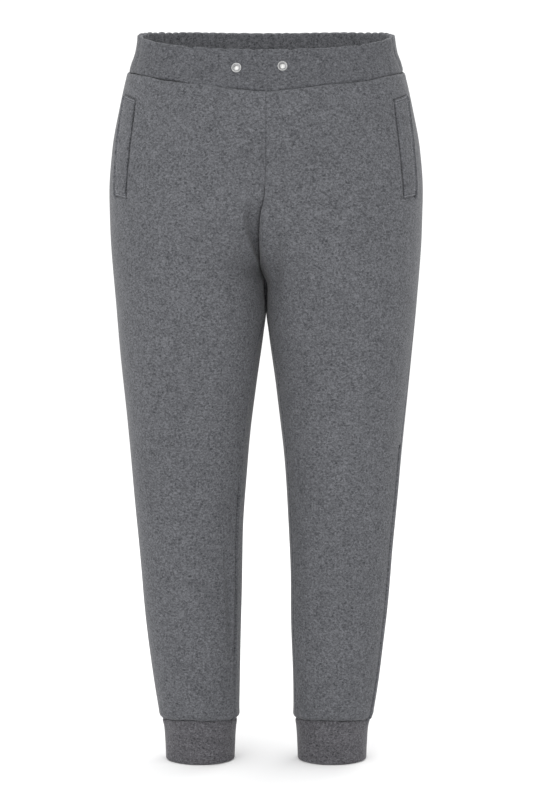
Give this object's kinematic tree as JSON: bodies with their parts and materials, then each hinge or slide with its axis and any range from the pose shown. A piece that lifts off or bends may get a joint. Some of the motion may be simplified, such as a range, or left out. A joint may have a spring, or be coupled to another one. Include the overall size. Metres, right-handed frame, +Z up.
{
  "type": "jogger sweatpants",
  "caption": "Fleece jogger sweatpants filled out as worn, with a gathered elastic waistband, metal eyelets, slanted welt pockets, tapered legs and close cuffs.",
  "frame": {"origin": "centre of the waist, level with the middle of the waistband at the sides", "axes": "+Z up along the body, +X to the wearer's left, -Y the way the wearer faces"},
  "size_m": [0.4186, 0.2598, 0.9807],
  "materials": {
    "fleece": "brushed melange fleece, matt",
    "cuff_cloth": "doubled melange knit, matt",
    "elastic": "woven white elastic",
    "nickel": "polished nickel plate"
  },
  "bodies": {
    "root": {"waistband": "fleece", "front_left": "fleece", "front_right": "fleece", "back_left": "fleece", "back_right": "fleece", "pocket_welt_left": "fleece", "pocket_welt_right": "fleece", "cuff_left": "cuff_cloth", "cuff_right": "cuff_cloth", "waist_elastic": "elastic", "eyelet_left": "nickel", "eyelet_right": "nickel"}
  },
  "joints": []
}
